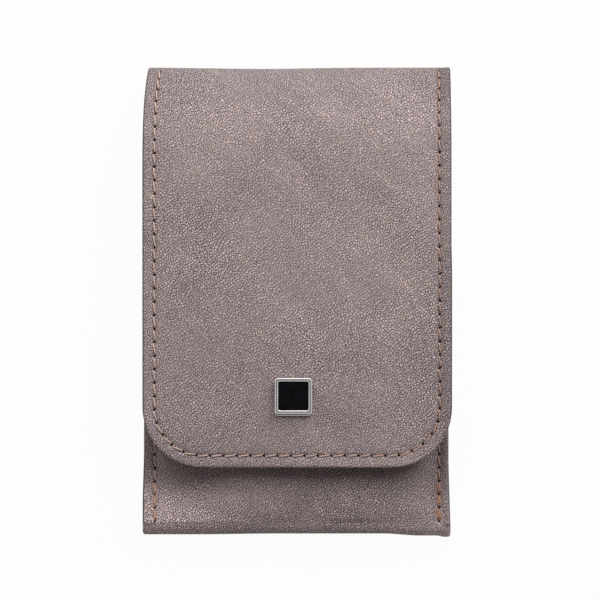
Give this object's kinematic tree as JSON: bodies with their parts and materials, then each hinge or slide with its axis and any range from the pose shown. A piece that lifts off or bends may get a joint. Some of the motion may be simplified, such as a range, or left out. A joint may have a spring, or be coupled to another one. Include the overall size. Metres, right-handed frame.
{
  "type": "manicure set case",
  "caption": "Small leather manicure case: stitched pocket, flap that rolls over the top and snaps shut, tools in loops inside.",
  "frame": {"origin": "middle of the case's box, at the level of the flat back that it lies on", "axes": "+X to the right across the flap, +Y along the case towards the top roll, +Z out of the front, from the flat back towards the badge"},
  "size_m": [0.075, 0.1147, 0.02],
  "materials": {
    "leather": "pebbled, satin",
    "lining": "matt synthetic suede",
    "board": "grey board",
    "thread": "waxed thread",
    "nickel": "polished nickel plate",
    "spring_steel": "drawn wire",
    "enamel": "gloss enamel",
    "tool_steel": "satin nickel",
    "handle": "moulded, glossy"
  },
  "bodies": {
    "case": {"body_leather": "leather", "body_lining": "lining", "back_board": "board", "pocket_stitching": "thread", "tool_band": "lining", "tool_band_stitching": "thread", "snap_stud": "nickel", "stud_rivet": "nickel", "file_blade": "tool_steel", "file_handle": "handle", "cuticle_pusher": "tool_steel", "nail_cleaner": "tool_steel", "tweezers_leg_lower": "tool_steel"},
    "spine": {"spine_leather": "leather", "spine_lining": "lining", "spine_stitching": "thread"},
    "flap": {"flap_leather": "leather", "flap_lining": "lining", "flap_board": "board", "flap_stitching": "thread", "badge_base": "nickel", "badge_frame": "nickel", "badge_inlay": "enamel", "snap_socket": "nickel", "snap_spring": "spring_steel"},
    "tweezers_leg": {"tweezers_leg_upper": "tool_steel"},
    "scissors_lower": {"scissors_half_lower": "tool_steel", "scissors_screw": "tool_steel"},
    "scissors_upper": {"scissors_half_upper": "tool_steel"}
  },
  "joints": [
    {"name": "spine_fold", "type": "hinge", "parent": "case", "child": "spine", "pos_m": [0, 0.05705, 0.007], "axis": [-1, 0, 0], "range_deg": [0, 125]},
    {"name": "flap_fold", "type": "hinge", "parent": "spine", "child": "flap", "pos_m": [0, 0.04804, 0.01765], "axis": [-1, 0, 0], "range_deg": [0, 58]},
    {"name": "tweezers_squeeze", "type": "hinge", "parent": "case", "child": "tweezers_leg", "pos_m": [0.02645, -0.0397, 0.00385], "axis": [-1, 0, 0], "range_deg": [0, 1.2], "stiffness_Nm_per_rad": 0.6},
    {"name": "scissors_open", "type": "hinge", "parent": "case", "child": "scissors_lower", "pos_m": [0, -0.005, 0.0031], "axis": [0, 0, 1], "range_deg": [0, 7]},
    {"name": "scissors_open_upper", "type": "hinge", "parent": "case", "child": "scissors_upper", "pos_m": [0, -0.005, 0.0031], "axis": [0, 0, 1], "range_deg": [-7, 0]}
  ],
  "couplings": [
    {"joint": "scissors_open_upper", "follows": "scissors_open", "ratio": -1}
  ]
}
